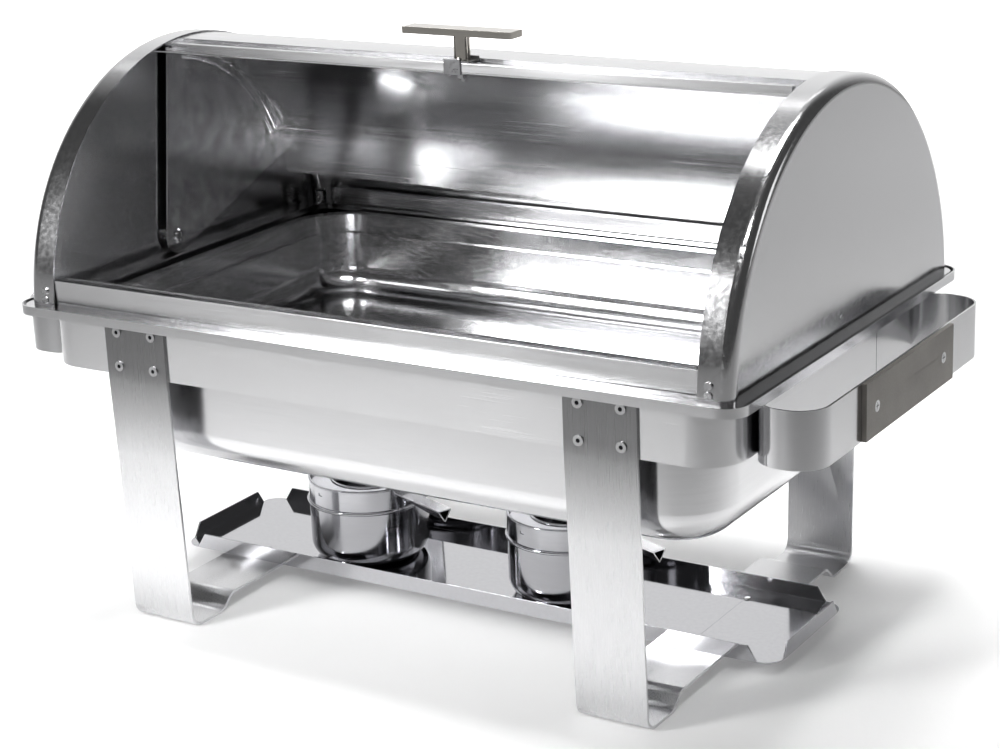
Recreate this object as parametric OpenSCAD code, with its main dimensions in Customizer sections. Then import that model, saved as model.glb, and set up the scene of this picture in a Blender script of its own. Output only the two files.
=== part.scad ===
// Roll-top chafing dish food warmer for one full-size (530 x 325 mm) food pan.
// +Z is up, X runs along the length, -Y is the side the guests serve from.
// The origin is on the ground, under the middle of the water pan.

/* [Frame] */
// Length of the apron band that carries the water pan
apron_length = 570; // [540:1:590]
// Width of the apron band, front to back
apron_width = 351; // [340:1:370]
// Corner radius of the apron band
apron_corner = 29.5; // [15:0.5:60]
// Height of the lower edge of the apron band
apron_bottom = 197.5; // [180:0.5:210]
// Height of the upper edge of the apron band
apron_top = 238; // [230:0.5:250]
// Sheet of the apron band and of the handle loops
band_sheet = 1.5; // [1:0.1:3]

/* [Legs] */
// Width of the leg strips
leg_width = 55; // [40:1:80]
// Distance of each leg strip from the middle
leg_x = 194.5; // [150:0.5:230]
// Thickness of the leg strips
leg_sheet = 2; // [1.5:0.1:4]
// How far the feet stand in from the apron
leg_lean = 6.5; // [0:0.5:20]
// Height of the underside of the cross span
span_height = 10.5; // [6:0.5:30]
// Bend radius at the feet
foot_bend = 11; // [6:0.5:16]

/* [Handles] */
// Outer distance of the loop wall from the middle
loop_reach = 334; // [320:1:360]
// Length of the loops, front to back
loop_length = 296; // [200:1:330]
// Lower edge of the loops
loop_bottom = 195; // [185:0.5:200]
// Upper edge of the loops
loop_top = 235; // [225:0.5:237]
// Length of the grip plates
grip_length = 154; // [100:1:200]
// Thickness of the grip plates
grip_thick = 3.5; // [2:0.1:8]
// Distance of the grip screws from the middle
grip_screw_y = 59; // [40:1:70]

/* [Burner tray] */
// Length of the tray floor
tray_length = 528; // [460:1:540]
// Width of the tray floor
tray_width = 120; // [110:1:200]
// Height of the tray flanges
tray_flange = 11; // [6:0.5:20]
// Tray sheet
tray_sheet = 1.2; // [0.8:0.1:2]

/* [Burners] */
// Place of the left burner along the tray
burner_left_x = -117; // [-150:1:-100]
// Place of the right burner along the tray
burner_right_x = 67; // [60:1:150]
// Place of the burners across the tray
burner_y = -4; // [-10:1:10]
// Radius of the pot wall
pot_radius = 47; // [42:0.5:50]
// Height of the pot
pot_height = 46; // [30:0.5:55]
// Height of the cap over the pot
cap_height = 20.3; // [12:0.1:30]
// Radius of the flame opening
flame_radius = 28.5; // [15:0.5:35]
// Reach of the cap handle from the burner axis
handle_reach = 103.5; // [80:0.5:115]
// Direction of the cap handles, seen from above
handle_turn = -21; // [-60:1:60]

/* [Water pan] */
// Length over the rim
rim_length = 600; // [560:1:640]
// Width over the rim
rim_width = 380; // [360:1:420]
// Height of the rim lip
rim_height = 7; // [5:0.5:12]
// Rim corner radius
rim_corner = 17; // [10:0.5:40]
// Length of the pan body
bath_length = 524; // [520:1:540]
// Width of the pan body
bath_width = 314; // [312:1:330]
// Height of the underside of the pan body
bath_bottom = 128; // [115:1:150]
// Pan sheet
pan_sheet = 1.2; // [0.8:0.1:2]

/* [Food pan] */
// Length over the flange
food_length = 530; // [520:1:540]
// Width over the flange
food_width = 325; // [320:1:335]
// Depth of the pan
food_depth = 65; // [40:1:100]
// Flange corner radius
food_corner = 50; // [40:1:60]

/* [Hood] */
// Outer radius of the end domes
dome_radius = 183; // [175:1:186]
// Rounding of the dome edge
dome_edge = 8; // [4:0.5:12]
// Distance of the dome faces from the middle
dome_x = 291; // [285:1:295]
// Width of the dome band over the edge rounding
band_width = 24; // [16:1:40]
// Front to back shift of the hood centre
hood_shift = 2; // [-5:0.5:5]
// Height of the front rail
front_rail_height = 20; // [14:0.5:30]

/* [Lid] */
// Outer radius of the rolling lid
lid_radius = 153; // [148:0.5:156]
// Lid sheet
lid_sheet = 1; // [0.8:0.1:1.5]
// Pivot distance in front of the middle
pivot_forward = 12; // [0:0.5:16]
// Height of the pivots
pivot_z = 258; // [257:0.5:262]
// Radius of the pivot pins
pivot_pin = 3; // [2:0.1:5]
// Length of the knob bar
knob_length = 92; // [60:1:120]

/* [Hidden] */
$fn = 96;
clear = 0.05;                                  // running fit of a pin in its hole
half_l = apron_length / 2;
half_w = apron_width / 2;
leg_out = half_w + leg_sheet;                  // outer face of the upper leg
rivet_z = (apron_bottom + apron_top) / 2;
rivet_dx = 16;
rivet_dz = 13;
rivet_r = 2;
span_top = span_height + leg_sheet;
tray_top = span_top + tray_sheet;
tray_rivet_y = 38.5;
gutter_top = apron_top + pan_sheet;
rim_top = apron_top + rim_height;
seat_z = gutter_top + 3.8;                     // top edge of the water pan wall
base_top = gutter_top + 4.8;                   // hood base plate
base_rise = 3.5;
hood_z = apron_top - 1;                        // centre height of the hood arcs
dome_in = dome_radius - pan_sheet;
band_x = dome_x - band_width;
front_y = -178;                                // face of the front rail
rail_top = base_top + front_rail_height;
rear_y = 170;
plate_x = 284;                                 // inner face of the sector plates
plate_sheet = 1.2;
lid_in = lid_radius - lid_sheet;
lid_from = 84;                                 // lid arc, measured up from the front
lid_to = 172;
lid_rail_y = -28;
lid_rail_top = 416.8;
lid_rail_x = 262;
knob_y = -20.5;
knob_z = 436;
stem_r = 6;
pot_z = tray_top;
pot_top = pot_z + pot_height;
pot_sheet = 1.2;
cap_top = pot_top + cap_height;
cap_plate_z = cap_top - 4.8;                   // underside of the sunk cap plate
handle_w = 12;
handle_top = cap_top - 4;

steel = [0.78, 0.79, 0.80];
brushed = [0.70, 0.71, 0.72];
mirror_steel = [0.86, 0.87, 0.88];
dark_steel = [0.45, 0.45, 0.46];
grip_grey = [0.46, 0.43, 0.40];
nickel = [0.74, 0.71, 0.66];

// ---- flat outlines -------------------------------------------------------

// Rectangle with true round corners, centred
module rounded(l, w, r) {
    square([l - 2 * r, w], center = true);
    square([l, w - 2 * r], center = true);
    for (x = [-1, 1], y = [-1, 1])
        translate([x * (l / 2 - r), y * (w / 2 - r)]) circle(r);
}

// Closed band of constant thickness
module band_ring(l, w, r, t) {
    difference() {
        rounded(l, w, r);
        rounded(l - 2 * t, w - 2 * t, r - t);
    }
}

function unit(v) = v / norm(v);
function side(v) = [-v.y, v.x];
function run(p, i) = unit(p[i + 1] - p[i]);
function bent(p, i) = cross([run(p, i - 1).x, run(p, i - 1).y, 0],
                            [run(p, i).x, run(p, i).y, 0]).z;
function trim(p, r, i) = i <= 0 || i >= len(p) - 1 ? 0 :
    r * tan(acos(run(p, i - 1) * run(p, i)) / 2);

// Strip of width w seen edge-on: straight runs of thickness t joined by round bends of
// radius r. Each run reaches a little way into its bends, so that the strip is one piece.
module strip_path(p, r, t, w) {
    for (i = [0 : len(p) - 2]) {
        into = 0.3;
        a = p[i] + run(p, i) * max(0, trim(p, r, i) - into);
        b = p[i + 1] - run(p, i) * max(0, trim(p, r, i + 1) - into);
        n = side(run(p, i)) * t / 2;
        along_x(w) polygon([a + n, b + n, b - n, a - n]);
    }
    for (i = [1 : len(p) - 2]) {
        s = sign(bent(p, i));
        n1 = -s * side(run(p, i - 1));
        n2 = -s * side(run(p, i));
        far = 3 * r;
        along_x(w) translate(p[i] - run(p, i - 1) * trim(p, r, i) - n1 * r)
            intersection() {
                difference() {
                    circle(r + t / 2);
                    circle(r - t / 2);
                }
                polygon([[0, 0], n1 * far, unit(n1 + n2) * far * 1.5, n2 * far]);
            }
    }
}

// ---- solids along the main directions -----------------------------------

// Outline drawn in (y, z), extruded along X and centred there
module along_x(length) {
    translate([-length / 2, 0, 0]) rotate([90, 0, 90]) linear_extrude(length) children();
}

// Outline drawn in (y, z), extruded from x0 to x1
module between_x(x0, x1) {
    translate([x0, 0, 0]) rotate([90, 0, 90]) linear_extrude(x1 - x0) children();
}

// Round pin along Y from y0 to y1
module pin_y(x, z, r, y0, y1) {
    translate([x, y1, z]) rotate([90, 0, 0]) cylinder(r = r, h = y1 - y0);
}

// Round pin along X from x0 to x1
module pin_x(y, z, r, x0, x1) {
    translate([x0, y, z]) rotate([0, 90, 0]) cylinder(r = r, h = x1 - x0);
}

// Outline drawn as (radius, x), turned about the X direction.
// The angle runs up from the front (0) over the top (90) to the back (180).
module turned_x(from, to) {
    rotate([0, 90, 0]) rotate_extrude(start = 270 - to, angle = to - from) children();
}

// Tub of one sheet: the outline of the wall is drawn as (distance from the corner
// axis, z); the corner axes stand at +-cx, +-cy and the floor closes the middle.
module tub(cx, cy, floor_z, sheet) {
    for (i = [0 : 3]) {
        sx = i == 0 || i == 3 ? 1 : -1;
        sy = i < 2 ? 1 : -1;
        translate([sx * cx, sy * cy, 0]) rotate(90 * i)
            rotate_extrude(angle = 90) children();
    }
    for (s = [0, 180]) {
        rotate(s) translate([cx, cy, 0]) rotate([90, 0, 0])
            linear_extrude(2 * cy) children();
        rotate(s) translate([-cx, cy, 0]) rotate([90, 0, 90])
            linear_extrude(2 * cx) children();
    }
    translate([-cx, -cy, floor_z]) cube([2 * cx, 2 * cy, sheet]);
}

// Wall and rounded bottom edge of a tub, from the corner axis outwards
module tub_wall(r, top, bottom, fillet, t) {
    translate([0, bottom]) square([r - fillet, t]);
    translate([r - t, bottom + fillet]) square([t, top - bottom - fillet]);
    translate([r - fillet, bottom + fillet]) intersection() {
        difference() {
            circle(fillet);
            circle(fillet - t);
        }
        translate([0, -fillet]) square(fillet);
    }
}

// ---- frame ----------------------------------------------------------------

module rivet_row(sx, sy, r, y0, y1) {
    for (dx = [-1, 1], dz = [-1, 1])
        if (sy < 0) pin_y(sx * leg_x + dx * rivet_dx, rivet_z + dz * rivet_dz, r, -y1, -y0);
        else pin_y(sx * leg_x + dx * rivet_dx, rivet_z + dz * rivet_dz, r, y0, y1);
}

module apron() color(brushed)
    difference() {
        translate([0, 0, apron_bottom]) linear_extrude(apron_top - apron_bottom)
            band_ring(apron_length, apron_width, apron_corner, band_sheet);
        for (sx = [-1, 1], sy = [-1, 1]) rivet_row(sx, sy, rivet_r, half_w - 5, half_w + 5);
    }

function leg_half(s) = [
    [s * (half_w + leg_sheet / 2), apron_top - 2],
    [s * (half_w + leg_sheet / 2), apron_bottom - 2],
    [s * (half_w + leg_sheet / 2 - leg_lean), leg_sheet / 2],
    [s * 133.5, leg_sheet / 2],
    [s * 122, span_height + leg_sheet / 2]];

module leg_strip(sx) color(steel)
    difference() {
        translate([sx * leg_x, 0, 0]) for (s = [-1, 1]) {
            p = leg_half(s);
            strip_path([p[0], p[1] - [0, 0.5]], foot_bend, leg_sheet, leg_width);
            strip_path([p[1], p[2], p[3], p[4], [-s, p[4].y]], foot_bend, leg_sheet, leg_width);
        }
        for (sy = [-1, 1]) rivet_row(sx, sy, rivet_r, half_w - 5, half_w + 5);
        for (sy = [-1, 1])
            translate([sx * leg_x, sy * tray_rivet_y, 0]) cylinder(r = 1.6, h = 30);
    }

module leg_strip_left() leg_strip(-1);
module leg_strip_right() leg_strip(1);

// Blind rivets: flat ring head outside, shank, upset end inside the apron
module leg_rivets() color(dark_steel)
    for (sx = [-1, 1], sy = [-1, 1]) {
        rivet_row(sx, sy, rivet_r, half_w - band_sheet, leg_out);
        rivet_row(sx, sy, 3, half_w - band_sheet - 1.2, half_w - band_sheet);
        difference() {
            rivet_row(sx, sy, 3.8, leg_out, leg_out + 1);
            rivet_row(sx, sy, 1.5, leg_out + 0.3, leg_out + 2);
        }
    }

// Closed band loop fixed to the end wall of the apron, lap joint on the inner wall
module handle_loop(s) color(steel) {
    width = loop_reach - half_l;
    mid = half_l + width / 2;
    difference() {
        translate([s * mid, 0, loop_bottom]) linear_extrude(loop_top - loop_bottom)
            band_ring(width, loop_length, 22, band_sheet);
        translate([s * (half_l + band_sheet), 60, loop_bottom - 1])
            translate([-0.5, 0, 0]) cube([1, 0.8, loop_top - loop_bottom + 2]);
        for (y = [-1, 1]) pin_x(y * grip_screw_y, (loop_bottom + loop_top) / 2, 2,
                                s < 0 ? -loop_reach - 5 : loop_reach - 5,
                                s < 0 ? -loop_reach + 5 : loop_reach + 5);
    }
}

module handle_loop_left() handle_loop(-1);
module handle_loop_right() handle_loop(1);

module grip_plate(s) color(grip_grey) {
    z = (loop_bottom + loop_top) / 2;
    h = loop_top - loop_bottom;
    difference() {
        translate([s > 0 ? loop_reach : -loop_reach - grip_thick, -grip_length / 2, loop_bottom])
            cube([grip_thick, grip_length, h]);
        for (y = [-1, 1]) translate([s * loop_reach, y * grip_screw_y, z]) rotate([0, s * 90, 0]) {
            translate([0, 0, -1]) cylinder(r = 2, h = 9);
            translate([0, 0, grip_thick - 2]) cylinder(r1 = 2, r2 = 4, h = 2);
        }
    }
}

module grip_plate_left() grip_plate(-1);
module grip_plate_right() grip_plate(1);

// Countersunk cross-slot screws through grip plate and loop wall, with nuts inside
module grip_screws() color(steel)
    for (s = [-1, 1], y = [-1, 1])
        translate([s * loop_reach, y * grip_screw_y, (loop_bottom + loop_top) / 2])
            rotate([0, s * 90, 0]) difference() {
                union() {
                    translate([0, 0, -band_sheet - 4]) cylinder(r = 2, h = band_sheet + 4 + grip_thick);
                    translate([0, 0, -band_sheet - 3]) cylinder(r = 3.8, h = 3, $fn = 6);
                    translate([0, 0, grip_thick - 2]) cylinder(r1 = 2, r2 = 4, h = 2);
                }
                for (a = [0, 90]) rotate(a) translate([-2.4, -0.4, grip_thick - 0.9])
                    cube([4.8, 0.8, 2]);
            }

// Upright flange with sloping ends, foot of length l along X at y = 0
module flange(l) {
    rotate([90, 0, 0]) translate([0, 0, -tray_sheet]) linear_extrude(tray_sheet)
        polygon([[-l / 2, 0], [l / 2, 0], [l / 2 - 7, tray_flange], [-l / 2 + 7, tray_flange]]);
}

module burner_tray() color(mirror_steel)
    difference() {
        union() {
            translate([0, 0, span_top]) linear_extrude(tray_sheet)
                rounded(tray_length, tray_width, 14);
            for (s = [-1, 1]) {
                translate([0, s < 0 ? -tray_width / 2 : tray_width / 2 - tray_sheet, tray_top])
                    flange(tray_length - 30);
                translate([s * tray_length / 2, 0, tray_top]) rotate(s < 0 ? -90 : 90)
                    flange(tray_width - 28);
            }
        }
        for (x = [-1, 1], y = [-1, 1])
            translate([x * leg_x, y * tray_rivet_y, 0]) cylinder(r = 1.6, h = 30);
    }

module tray_rivets() color(steel)
    for (x = [-1, 1], y = [-1, 1]) translate([x * leg_x, y * tray_rivet_y, 0]) {
        translate([0, 0, span_height]) cylinder(r = 1.6, h = tray_top - span_height);
        translate([0, 0, tray_top]) cylinder(r1 = 3, r2 = 2.2, h = 1);
        translate([0, 0, span_height - 1]) cylinder(r = 2.6, h = 1);
    }

// ---- pans -------------------------------------------------------------------

module water_pan() color(steel) {
    r = 45;
    tub(bath_length / 2 - r, bath_width / 2 - r, bath_bottom, pan_sheet)
        tub_wall(r, seat_z, bath_bottom, 25, pan_sheet);
    // gutter floor, then the lip around it
    translate([0, 0, apron_top]) linear_extrude(pan_sheet) difference() {
        rounded(rim_length, rim_width, rim_corner);
        rounded(bath_length, bath_width, r);
    }
    translate([0, 0, gutter_top]) linear_extrude(rim_height - pan_sheet)
        band_ring(rim_length, rim_width, rim_corner, pan_sheet);
}

module food_pan() color(mirror_steel) {
    top = seat_z + pan_sheet;
    low = top - food_depth;
    r = food_corner;
    tub(food_length / 2 - r, food_width / 2 - r, low, pan_sheet) {
        // flange, upper wall, step, lower wall
        translate([r - 10, seat_z]) square([10, pan_sheet]);
        translate([r - 10, seat_z - 14]) square([pan_sheet, 14 + pan_sheet]);
        translate([r - 13, seat_z - 14 - pan_sheet]) square([3 + pan_sheet, pan_sheet]);
        tub_wall(r - 13 + pan_sheet, seat_z - 14, low, 20, pan_sheet);
    }
}

// ---- hood ---------------------------------------------------------------------

module hood_base() color(steel) {
    l = 2 * dome_x + 11;
    w = rim_width - 2 * pan_sheet - 3;
    in_l = 2 * 271;
    in_w = 2 * 166;
    translate([0, 0, base_top - pan_sheet]) linear_extrude(pan_sheet) difference() {
        rounded(l, w, 14);
        rounded(in_l, in_w, 12);
    }
    translate([0, 0, gutter_top]) linear_extrude(base_top - pan_sheet - gutter_top)
        band_ring(l, w, 14, pan_sheet);
    // raised inner edge
    translate([0, 0, base_top]) linear_extrude(base_rise)
        band_ring(in_l + 2 * pan_sheet, in_w + 2 * pan_sheet, 12 + pan_sheet, pan_sheet);
}

module front_rail() color(brushed)
    difference() {
        union() {
            translate([-band_x + 0.5, front_y, base_top])
                cube([2 * band_x - 1, pan_sheet, front_rail_height]);
            translate([-band_x + 0.5, front_y + pan_sheet, rail_top - pan_sheet])
                cube([2 * band_x - 1, 11 - pan_sheet, pan_sheet]);
            translate([-band_x + 0.5, front_y + 11 - pan_sheet, rail_top - 5])
                cube([2 * band_x - 1, pan_sheet, 5 - pan_sheet]);
            // tabs behind the dome bands
            for (s = [-1, 1]) translate([s < 0 ? -band_x - 13 : band_x - 0.5, front_y, base_top])
                cube([13.5, pan_sheet, 15]);
        }
        band_rivet_pins(1.6, -200, -150);
    }

module band_rivet_pins(r, y0, y1)
    for (s = [-1, 1], z = [5, 11.5]) pin_y(s * (band_x + 8), base_top + z, r, y0, y1);

module band_rivets() color(dark_steel) {
    band_rivet_pins(1.6, -181.6, front_y + pan_sheet);
    difference() {
        band_rivet_pins(2.8, -181.6, -179.6);
        pin_x(hood_shift, hood_z, dome_radius, -300, 300, $fn = 1440);
    }
}

module rear_rail() color(brushed) {
    h = 16;
    l = 2 * 262;
    difference() {
        translate([-l / 2, rear_y, base_top]) cube([l, pan_sheet, h]);
        for (s = [-1, 1], x = [246, 254]) pin_y(s * x, base_top + 9, 1.5, rear_y - 1, rear_y + 3);
    }
    translate([-l / 2, rear_y + pan_sheet, base_top + h - pan_sheet]) cube([l, 6, pan_sheet]);
}

// Shallow end cap: flat face, round edge, band over the ends of the shells
module end_dome(s) color(steel) {
    t = pan_sheet;
    difference() {
        intersection() {
            translate([0, hood_shift, hood_z]) mirror([s < 0 ? 1 : 0, 0, 0])
                turned_x(0, 180) {
                    translate([0, dome_x - t]) square([dome_radius - dome_edge, t]);
                    translate([dome_radius - t, band_x]) square([t, band_width - dome_edge]);
                    translate([dome_radius - dome_edge, dome_x - dome_edge]) intersection() {
                        difference() {
                            circle(dome_edge);
                            circle(dome_edge - t);
                        }
                        square(dome_edge);
                    }
                }
            translate([-400, -400, base_top]) cube([800, 800, 400]);
        }
        pin_x(-pivot_forward, pivot_z, 2, -300, 300);
        band_rivet_pins(1.6, -200, -150);
    }
}

module end_dome_left() end_dome(-1);
module end_dome_right() end_dome(1);

// Fixed half of the hood, from just before the top down to the base at the back
module rear_shell() color(brushed) {
    low = asin((base_top - hood_z) / (dome_in - pan_sheet));
    // folded front edge
    translate([-282, hood_shift - 14.2, 411.8]) cube([564, 1, 5.6]);
    translate([0, hood_shift, hood_z]) turned_x(85.5, 180 - low)
        translate([dome_in - pan_sheet, -282]) square([pan_sheet, 564]);
}

module corner_screws() color(steel)
    for (s = [-1, 1]) translate([s * 275, 170, base_top]) {
        cylinder(r = 7, h = 1.2);
        translate([0, 0, 1.2]) cylinder(r1 = 6.4, r2 = 5, h = 2);
        translate([0, 0, 3.2]) cylinder(r = 5, h = 9.6);
        translate([0, 0, 12.8]) cylinder(r1 = 5, r2 = 4, h = 1.2);
    }

// Stepped studs on the dome faces: foot in the face, spacer, running pin, round head
module pivot_studs() color(steel)
    for (s = [-1, 1]) translate([s * dome_x, -pivot_forward, pivot_z]) rotate([0, s * -90, 0]) {
        gap = dome_x - plate_x;
        cylinder(r = 2, h = pan_sheet);
        translate([0, 0, pan_sheet]) cylinder(r = 6, h = gap - pan_sheet - plate_sheet - 0.3);
        translate([0, 0, pan_sheet]) cylinder(r = pivot_pin, h = gap - pan_sheet + 0.3);
        translate([0, 0, gap + 0.3]) cylinder(r1 = 6, r2 = 4.6, h = 1.6);
    }

// ---- rolling lid ----------------------------------------------------------------

module lid_shell() color(brushed)
    difference() {
        translate([0, -pivot_forward, pivot_z]) turned_x(lid_from, lid_to)
            translate([lid_in, -plate_x - plate_sheet])
                square([lid_sheet, 2 * (plate_x + plate_sheet)]);
        translate([0, knob_y, 300]) cylinder(r = 2, h = 200);
    }

// Upright folded strip on the leading edge of the lid
module lid_rail() color(brushed) {
    foot = pivot_z + sqrt(pow(lid_radius, 2) - pow(lid_rail_y + pivot_forward, 2));
    difference() {
        along_x(2 * lid_rail_x) {
            translate([lid_rail_y, foot]) square([1.2, lid_rail_top - foot]);
            translate([lid_rail_y + 1.2, lid_rail_top - 1.2]) square([3.3, 1.2]);
            translate([lid_rail_y + 3.3, lid_rail_top - 4]) square([1.2, 2.8]);
            translate([lid_rail_y + 1.2, foot + 0.1]) square([9, 1]);
        }
        pin_x(-pivot_forward, pivot_z, lid_radius, -300, 300, $fn = 1440);
        translate([0, knob_y, 0]) cylinder(r = 2, h = 500);
    }
}

function ray(a) = [-cos(a), sin(a)];

// Fan-shaped end plate around the pivot, with a rolled bead near its arc
module sector_plate(s) color(brushed) {
    apex = 13.8;
    front = 97;
    back = 159.5;
    difference() {
        translate([0, -pivot_forward, pivot_z]) {
            between_x(s < 0 ? -plate_x - plate_sheet : plate_x,
                      s < 0 ? -plate_x : plate_x + plate_sheet)
                intersection() {
                    union() {
                        circle(apex);
                        polygon([apex * ray(front - 90), apex * ray(front - 90) + 200 * ray(front),
                                 260 * ray(127), apex * ray(back + 90) + 200 * ray(back),
                                 apex * ray(back + 90)]);
                    }
                    circle(lid_in);
                }
            for (bead = [lid_in - 2.5, lid_in - 9.5])
                turned_x(front + 2, back - 4) translate([bead, s * plate_x]) intersection() {
                    circle(1.3, $fn = 24);
                    translate([-3, s < 0 ? 0 : -3]) square([6, 3]);
                }
        }
        pin_x(-pivot_forward, pivot_z, pivot_pin + clear, -300, 300);
    }
}

module sector_plate_left() sector_plate(-1);
module sector_plate_right() sector_plate(1);

module knob_bar() color(nickel)
    difference() {
        translate([-knob_length / 2, knob_y - 8, knob_z]) cube([knob_length, 16, 5]);
        translate([0, knob_y, knob_z - 1]) cylinder(r = 2, h = 3);
    }

module knob_stem() color(nickel) {
    foot = lid_rail_top + 1.2;
    difference() {
        translate([0, knob_y, foot]) cylinder(r = stem_r, h = knob_z - foot);
        translate([0, knob_y, foot - 1]) cylinder(r = 2, h = 9);
    }
    translate([0, knob_y, knob_z]) cylinder(r = 2, h = 2);
}

// Clip hooked over the lid rail: front tongue, folded edge, seat under the stem, rear tab
module knob_bracket() color(steel)
    difference() {
        t = 1.2;
        rise = 3;
        union() {
            translate([-11, lid_rail_y - t, 408]) cube([14, t, lid_rail_top + rise - 408]);
            translate([-11, lid_rail_y - t, lid_rail_top + rise - t]) cube([14, 2 * t, t]);
            translate([-11, lid_rail_y, lid_rail_top]) cube([14, t, rise]);
            translate([-11, lid_rail_y, lid_rail_top]) cube([21, 14.6, t]);
            translate([-11, lid_rail_y + 14.6 - t, lid_rail_top]) cube([21, t, rise + 0.6]);
        }
        translate([0, knob_y, 0]) cylinder(r = 2, h = 500);
    }

// Screw from inside the lid through rail and saddle into the stem
module knob_screw() color(steel) {
    translate([0, knob_y, 402.6]) cylinder(r = 2, h = lid_rail_top + 9.1 - 402.6);
    translate([0, knob_y, 404.8]) cylinder(r = 4.5, h = 3.2, $fn = 6);
    translate([0, knob_y, 408]) cylinder(r = 6, h = 1.2);
}

// ---- burners -------------------------------------------------------------------------

function burner_x(s) = s < 0 ? burner_left_x : burner_right_x;

module at_burner(s) {
    translate([burner_x(s), burner_y, 0]) children();
}

module burner_pot(s) color(mirror_steel) at_burner(s)
    rotate_extrude() tub_wall(pot_radius, pot_top, pot_z, 14, pot_sheet);

// Cap that stands on the pot: spigot inside the pot, bead at the joint,
// rolled top edge and a sunk plate with the flame opening
module burner_cap(s) color(mirror_steel) at_burner(s)
    difference() {
        rotate_extrude() {
            translate([pot_radius - pot_sheet, pot_top]) square([pot_sheet, cap_height - 1.1]);
            translate([pot_radius - 2.6, pot_top]) square([2.6, 1]);
            translate([pot_radius - 2.6, pot_top - 8]) square([1, 9]);
            translate([pot_radius, pot_top + 1.6]) intersection() {
                circle(1.6, $fn = 32);
                translate([-0.6, -2]) square([3, 4]);
            }
            translate([pot_radius - 0.9, cap_top - 1.1]) circle(1.1, $fn = 32);
            translate([flame_radius, cap_plate_z]) square([pot_radius - 0.6 - flame_radius, 1]);
            translate([flame_radius, cap_plate_z + 1]) circle(1.2, $fn = 32);
        }
        // small pressed window in the wall
        rotate(handle_turn - 87) translate([pot_radius - 0.6, -2.2, cap_top - 8.3]) cube([3, 4.4, 2.4]);
    }

// Sheet folded to a three-cornered tube, deeper towards its open end
module cap_handle(s) color(steel) at_burner(s) rotate(handle_turn)
    difference() {
        hull() {
            translate([40, -handle_w / 2, handle_top - 0.9]) cube([handle_reach - 40, handle_w, 0.9]);
            translate([40, -0.6, handle_top - 4]) cube([1, 1.2, 1]);
            translate([handle_reach - 1, -0.6, handle_top - 9.5]) cube([1, 1.2, 1]);
        }
        hull() {
            translate([39, -handle_w / 2 + 1.6, handle_top - 1.6]) cube([handle_reach, handle_w - 3.2, 0.7]);
            translate([39, -0.2, handle_top - 2.7]) cube([1, 0.4, 1]);
            translate([handle_reach, -0.2, handle_top - 8.3]) cube([1, 0.4, 1]);
        }
        cylinder(r = pot_radius, h = 200);
    }

module burner_pot_left() burner_pot(-1);
module burner_pot_right() burner_pot(1);
module burner_cap_left() burner_cap(-1);
module burner_cap_right() burner_cap(1);
module cap_handle_left() cap_handle(-1);
module cap_handle_right() cap_handle(1);

apron();
leg_strip_left();
leg_strip_right();
leg_rivets();
handle_loop_left();
handle_loop_right();
grip_plate_left();
grip_plate_right();
grip_screws();
burner_tray();
tray_rivets();
water_pan();
food_pan();
hood_base();
front_rail();
rear_rail();
end_dome_left();
end_dome_right();
rear_shell();
band_rivets();
corner_screws();
pivot_studs();
lid_shell();
lid_rail();
sector_plate_left();
sector_plate_right();
knob_bar();
knob_stem();
knob_bracket();
knob_screw();
burner_pot_left();
burner_pot_right();
burner_cap_left();
burner_cap_right();
cap_handle_left();
cap_handle_right();
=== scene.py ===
import bpy, math
from mathutils import Matrix, Vector


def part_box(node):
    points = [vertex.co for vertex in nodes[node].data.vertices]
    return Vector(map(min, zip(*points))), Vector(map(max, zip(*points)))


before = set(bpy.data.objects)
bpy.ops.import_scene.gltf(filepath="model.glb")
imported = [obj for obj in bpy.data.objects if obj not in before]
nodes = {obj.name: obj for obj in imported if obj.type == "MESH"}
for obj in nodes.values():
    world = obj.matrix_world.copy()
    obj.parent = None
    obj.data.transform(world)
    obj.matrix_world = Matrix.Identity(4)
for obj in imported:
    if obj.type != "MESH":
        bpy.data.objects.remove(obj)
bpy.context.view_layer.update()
scene = bpy.context.scene

HEAD_RADIUS = 0.0038    # head of a leg rivet
BORE_EDGE = 0.00155     # just past the radius of a leg rivet's bore

# ---------------------------------------------------------------- camera
cam_data = bpy.data.cameras.new("camera")
cam = bpy.data.objects.new("camera", cam_data)
scene.collection.objects.link(cam)
scene.camera = cam
place = (0.90278, -1.41883, 0.70318)
yaw, pitch, roll = math.radians(32.232), math.radians(-17.447), math.radians(-2.277)
ahead = Vector((-math.sin(yaw) * math.cos(pitch), math.cos(yaw) * math.cos(pitch), math.sin(pitch)))
level = Vector((math.cos(yaw), math.sin(yaw), 0))
upright = level.cross(ahead)
right = math.cos(roll) * level + math.sin(roll) * upright
up = -math.sin(roll) * level + math.cos(roll) * upright
turned = Matrix((right, up, -ahead)).transposed().to_4x4()
cam.matrix_world = Matrix.Translation(place) @ turned
cam_data.sensor_width = 36
cam_data.lens = 83.90376
cam_data.clip_end = 60
scene.view_settings.view_transform = "Standard"
scene.view_settings.look = "Medium High Contrast"


# ---------------------------------------------------------------- materials
def new_material(name):
    """An empty material with one Principled shader: the material, its node tree and the shader."""
    m = bpy.data.materials.new(name)
    m.use_nodes = True
    nt = m.node_tree
    nt.nodes.clear()
    out = nt.nodes.new("ShaderNodeOutputMaterial")
    bsdf = nt.nodes.new("ShaderNodeBsdfPrincipled")
    nt.links.new(bsdf.outputs[0], out.inputs[0])
    return m, nt, bsdf


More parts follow.
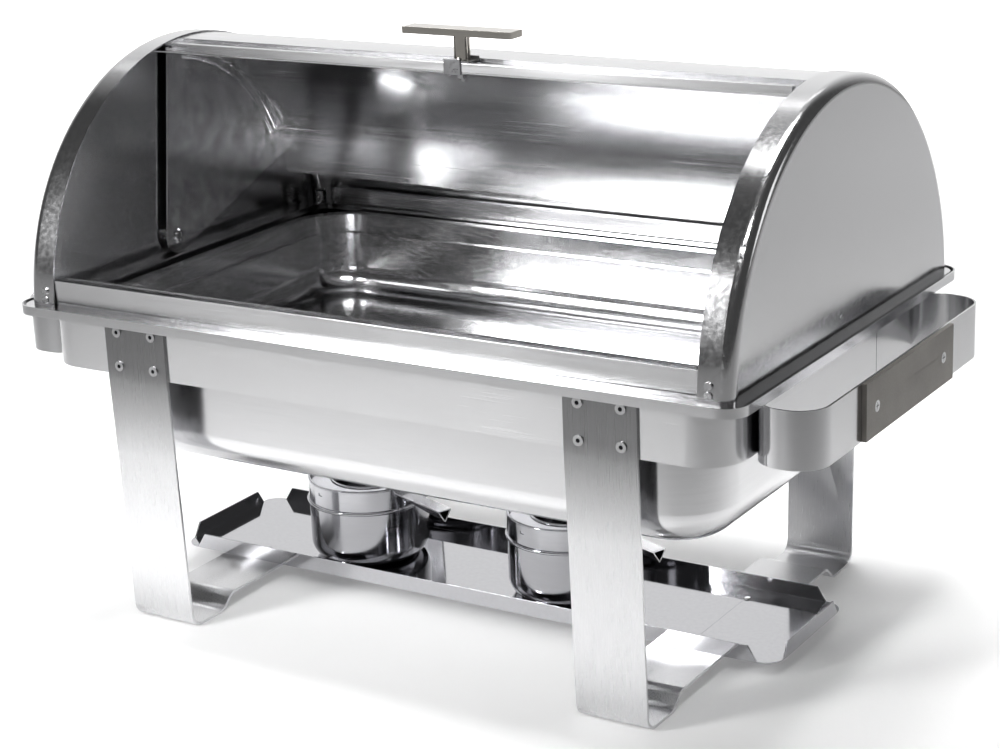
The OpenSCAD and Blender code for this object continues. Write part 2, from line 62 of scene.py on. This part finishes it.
def noise(nt, coord, scale, detail=4, rough=0.5, stretch=(1, 1, 1), seed=0.0):
    """Noise over coordinates in metres; a small stretch value draws it out in that direction."""
    mp = nt.nodes.new("ShaderNodeMapping")
    mp.inputs["Scale"].default_value = stretch
    mp.inputs["Location"].default_value = (seed, seed * 0.7, seed * 1.3)
    nt.links.new(coord, mp.inputs["Vector"])
    n = nt.nodes.new("ShaderNodeTexNoise")
    n.inputs["Scale"].default_value = scale
    n.inputs["Detail"].default_value = detail
    n.inputs["Roughness"].default_value = rough
    nt.links.new(mp.outputs[0], n.inputs["Vector"])
    return n.outputs["Fac"]


def ramp(nt, fac, lo, hi, a=0.3, b=0.7):
    """Maps fac from a..b to lo..hi."""
    r = nt.nodes.new("ShaderNodeMapRange")
    r.inputs["From Min"].default_value = a
    r.inputs["From Max"].default_value = b
    r.inputs["To Min"].default_value = lo
    r.inputs["To Max"].default_value = hi
    nt.links.new(fac, r.inputs["Value"])
    return r.outputs["Result"]


def tint(nt, fac, dark, light):
    """Colour between dark and light, by fac."""
    c = nt.nodes.new("ShaderNodeValToRGB")
    c.color_ramp.elements[0].position = 0.3
    c.color_ramp.elements[1].position = 0.7
    c.color_ramp.elements[0].color = (*dark, 1)
    c.color_ramp.elements[1].color = (*light, 1)
    nt.links.new(fac, c.inputs[0])
    return c.outputs[0]


def bump(nt, bsdf, height, strength, distance, after=None):
    """Fine relief on the shader, on top of an earlier bump if there is one."""
    b = nt.nodes.new("ShaderNodeBump")
    b.inputs["Strength"].default_value = strength
    b.inputs["Distance"].default_value = distance
    nt.links.new(height, b.inputs["Height"])
    if after:
        nt.links.new(after, b.inputs["Normal"])
    nt.links.new(b.outputs[0], bsdf.inputs["Normal"])
    return b.outputs[0]


def metal(name, base, rough, brush=(1, 1, 1), fine=420.0, line=0.25, spread=0.08, smudge=0.05,
          aniso=0.0, turn=0.0, axis="Z", shade=None, waves=0.10):
    """Steel with brushing lines stretched along each axis whose brush value is small.

    fine is the scale of the lines, line the strength of their relief and spread how much darker they
    are. smudge varies the roughness, waves is the relief of the sheet, and aniso, turn and axis
    stretch the highlights. shade is (low z, high z, darkest factor): painted shade that darkens the
    colour towards the top, standing in for the darker reflection there.
    """
    m, nt, bsdf = new_material(name)
    tc = nt.nodes.new("ShaderNodeTexCoord").outputs["Object"]
    bsdf.inputs["Metallic"].default_value = 1.0
    if aniso:
        bsdf.inputs["Anisotropic"].default_value = aniso
        bsdf.inputs["Anisotropic Rotation"].default_value = turn
        tan = nt.nodes.new("ShaderNodeTangent")
        tan.direction_type = "RADIAL"
        tan.axis = axis
        nt.links.new(tan.outputs[0], bsdf.inputs["Tangent"])
    lines = noise(nt, tc, fine, 6, 0.62, brush)
    cloud = noise(nt, tc, 9.0, 3, 0.5, seed=3.0)
    dark = tuple(c * (1 - spread) for c in base)
    colour = tint(nt, lines, dark, base)
    # painted shade: the base colour is scaled down towards the top, standing in for the darker
    # reflection there
    if shade:
        low, high, darkest = shade
        sep = nt.nodes.new("ShaderNodeSeparateXYZ")
        nt.links.new(tc, sep.inputs[0])
        top_shade_factor = ramp(nt, sep.outputs["Z"], 1.0, darkest, low, high)
        mul = nt.nodes.new("ShaderNodeVectorMath")
        mul.operation = "SCALE"
        nt.links.new(colour, mul.inputs[0])
        nt.links.new(top_shade_factor, mul.inputs["Scale"])
        colour = mul.outputs[0]
    nt.links.new(colour, bsdf.inputs["Base Color"])
    mix = nt.nodes.new("ShaderNodeMath")
    mix.operation = "ADD"
    nt.links.new(ramp(nt, lines, rough * 0.8, rough * 1.25), mix.inputs[0])
    nt.links.new(ramp(nt, cloud, -smudge / 2, smudge / 2), mix.inputs[1])
    nt.links.new(mix.outputs[0], bsdf.inputs["Roughness"])
    first = bump(nt, bsdf, lines, line, 0.00006)
    bump(nt, bsdf, cloud, waves, 0.0006, first)
    return m


def coating(name, base, rough):
    """Satin warm grey coating with fine grain and slight wear."""
    m, nt, bsdf = new_material(name)
    tc = nt.nodes.new("ShaderNodeTexCoord").outputs["Object"]
    grain = noise(nt, tc, 900, 5, 0.6)
    cloud = noise(nt, tc, 25, 4, 0.5, seed=2.0)
    nt.links.new(tint(nt, cloud, tuple(c * 0.82 for c in base), base), bsdf.inputs["Base Color"])
    bsdf.inputs["Metallic"].default_value = 0.55
    nt.links.new(ramp(nt, grain, rough * 0.85, rough * 1.2), bsdf.inputs["Roughness"])
    bump(nt, bsdf, grain, 0.35, 0.00008)
    return m


mat = {
    "brushed_x": metal("brushed_along_x", (0.80, 0.80, 0.81), 0.22, (0.006, 1, 1), 2200, 0.10, 0.05,
                       aniso=0.7, turn=0.25, waves=0.02),
    "brushed_h": metal("brushed_level", (0.64, 0.64, 0.65), 0.17, (0.008, 0.008, 1), 1800, 0.10, 0.05,
                       aniso=0.6, turn=0.25, waves=0.0),
    # leg strips: painted shade darkens their colour from z 0.135 up to 0.205
    "brushed_z": metal("brushed_along_z_painted_shade", (0.78, 0.78, 0.79), 0.30, (1, 1, 0.008), 1500, 0.34, 0.09,
                       aniso=0.7, shade=(0.135, 0.205, 0.42)),
    "shell": metal("shell_steel", (0.82, 0.82, 0.83), 0.22, (0.006, 1, 1), 900, 0.07, 0.04,
                   smudge=0.06, aniso=0.6, axis="X"),
    "pan": metal("satin_steel", (0.76, 0.76, 0.77), 0.18, (0.05, 0.05, 1), 500, 0.10, 0.05),
    "food": metal("food_pan_steel", (0.78, 0.78, 0.79), 0.17, (0.3, 0.3, 1), 400, 0.08, 0.05,
                  smudge=0.06),
    "dome": metal("dome_steel", (0.74, 0.74, 0.75), 0.17, (1, 1, 1), 300, 0.05, 0.04),
    "plate": metal("lid_plate_steel", (0.88, 0.88, 0.89), 0.20, (1, 1, 1), 60, 0.0, 0.03,
                   smudge=0.04, waves=0.0),
    "burner": metal("burner_steel", (0.50, 0.50, 0.52), 0.13, (0.1, 0.1, 1), 500, 0.06, 0.06,
                    aniso=0.6, turn=0.25),
    "mirror": metal("mirror_steel", (0.62, 0.62, 0.64), 0.07, (1, 1, 1), 300, 0.03, 0.05),
    "fastener": metal("fastener_steel", (0.62, 0.62, 0.63), 0.25, (1, 1, 1), 600, 0.2, 0.1),
    # painted shade for the rivet bores: near-black steel where the recess lies in shade
    "bore": metal("rivet_bore_painted_shade", (0.05, 0.05, 0.055), 0.5, (1, 1, 1), 600, 0.1, 0.2),
    "nickel": metal("knob_nickel", (0.74, 0.71, 0.66), 0.10, (0.03, 1, 1), 500, 0.08, 0.08),
    "clip": metal("clip_steel", (0.40, 0.40, 0.41), 0.32, (1, 1, 1), 500, 0.2, 0.1),
    "grip": coating("grip_coating", (0.30, 0.285, 0.265), 0.38),
}

uses = {
    "brushed_x": ["apron", "front_rail", "rear_rail", "lid_rail"],
    "brushed_h": ["handle_loop_left", "handle_loop_right"],
    "brushed_z": ["leg_strip_left", "leg_strip_right"],
    "shell": ["rear_shell", "lid_shell"],
    "pan": ["water_pan", "hood_base", "cap_handle_left", "cap_handle_right"],
    "dome": ["end_dome_left", "end_dome_right"],
    "plate": ["sector_plate_left", "sector_plate_right"],
    "food": ["food_pan"],
    "mirror": ["burner_tray"],
    "burner": ["burner_pot_left", "burner_pot_right", "burner_cap_left", "burner_cap_right"],
    "fastener": ["leg_rivets", "grip_screws", "tray_rivets", "band_rivets", "corner_screws",
                 "pivot_studs", "knob_screw"],
    "nickel": ["knob_bar", "knob_stem"],
    "clip": ["knob_bracket"],
    "grip": ["grip_plate_left", "grip_plate_right"],
}
for key, names in uses.items():
    for name in names:
        nodes[name].data.materials.clear()
        nodes[name].data.materials.append(mat[key])

# painted shade in the bores of the tubular rivets, which stand in two rows of two at the top of each
# leg: their faces get a near-black material
leg_low, leg_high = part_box("leg_strip_right")
rivets_low, rivets_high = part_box("leg_rivets")
leg_x = (leg_low.x + leg_high.x) / 2
rivet_z = (rivets_low.z + rivets_high.z) / 2
across = rivets_high.x - HEAD_RADIUS - leg_x
above = rivets_high.z - HEAD_RADIUS - rivet_z
rivets = nodes["leg_rivets"].data
rivets.materials.append(mat["bore"])
for face in rivets.polygons:
    dx = abs(abs(abs(face.center.x) - leg_x) - across)
    dz = abs(abs(face.center.z - rivet_z) - above)
    if math.hypot(dx, dz) < BORE_EDGE:
        face.material_index = 1

# ---------------------------------------------------------------- edges
# only on pieces that are mostly flat: a bevel spoils the shading of curved sheet
flat_pieces = ["leg_strip_left", "leg_strip_right", "grip_plate_left", "grip_plate_right", "knob_bar",
               "knob_bracket", "burner_tray", "front_rail", "rear_rail", "lid_rail",
               "cap_handle_left", "cap_handle_right"]
for name in flat_pieces:
    weld = nodes[name].modifiers.new("weld", "WELD")
    weld.merge_threshold = 0.000005
    bevel = nodes[name].modifiers.new("edge", "BEVEL")
    bevel.width = 0.0003
    bevel.segments = 2
    bevel.limit_method = "ANGLE"
    bevel.angle_limit = math.radians(40)
    bevel.harden_normals = True

# ---------------------------------------------------------------- floor and light
bpy.ops.mesh.primitive_plane_add(size=40)
floor = bpy.context.object
floor.name = "floor"
paper, nt, bsdf = new_material("floor_paper")
tc = nt.nodes.new("ShaderNodeTexCoord").outputs["Object"]
grain = tint(nt, noise(nt, tc, 3.0), (0.9, 0.9, 0.9), (0.93, 0.93, 0.93))
nt.links.new(grain, bsdf.inputs["Base Color"])
bsdf.inputs["Roughness"].default_value = 0.9
bsdf.inputs["Emission Color"].default_value = (1, 1, 1, 1)
bsdf.inputs["Emission Strength"].default_value = 0.12
floor.data.materials.append(paper)

# a grey room that gets brighter in the direction behind the object
world = bpy.data.worlds.new("studio")
scene.world = world
world.use_nodes = True
nt = world.node_tree
room = nt.nodes["Background"]
room.inputs[0].default_value = (1, 1, 1, 1)
direction = nt.nodes.new("ShaderNodeTexCoord").outputs["Generated"]
along = nt.nodes.new("ShaderNodeVectorMath")
along.operation = "DOT_PRODUCT"
along.inputs[1].default_value = (-0.52, 0.84, 0.12)
nt.links.new(direction, along.inputs[0])
nt.links.new(ramp(nt, along.outputs["Value"], 0.07, 0.80, 0.50, 0.95), room.inputs[1])


def area(name, place, target, width, height, energy, spread=180):
    """Rectangular lamp of width x height metres that faces the target; spread is its beam in degrees."""
    lamp = bpy.data.lights.new(name, "AREA")
    lamp.energy = energy
    lamp.spread = math.radians(spread)
    lamp.shape = "RECTANGLE"
    lamp.size = width
    lamp.size_y = height
    o = bpy.data.objects.new(name, lamp)
    scene.collection.objects.link(o)
    o.location = place
    o.rotation_euler = (Vector(target) - Vector(place)).to_track_quat("-Z", "Y").to_euler()


area("overhead", (-0.15, 0.25, 2.0), (-0.15, 0.25, 0), 1.0, 0.8, 4.6, spread=52)
area("background", (-1.6, 2.7, 2.4), (-1.7, 2.9, 0), 2.4, 3.0, 85, spread=110)
area("front_left", (-0.88, -1.55, 1.0), (0.0, 0.1, 0.30), 0.36, 0.8, 3.4, spread=70)
area("front_top", (0.35, -1.2, 1.7), (-0.15, 0.05, 0.22), 0.8, 0.35, 1.1, spread=40)
area("right", (2.0, 0.6, 0.9), (0.2, 0, 0.3), 0.5, 0.9, 1.5)

bpy.context.view_layer.update()
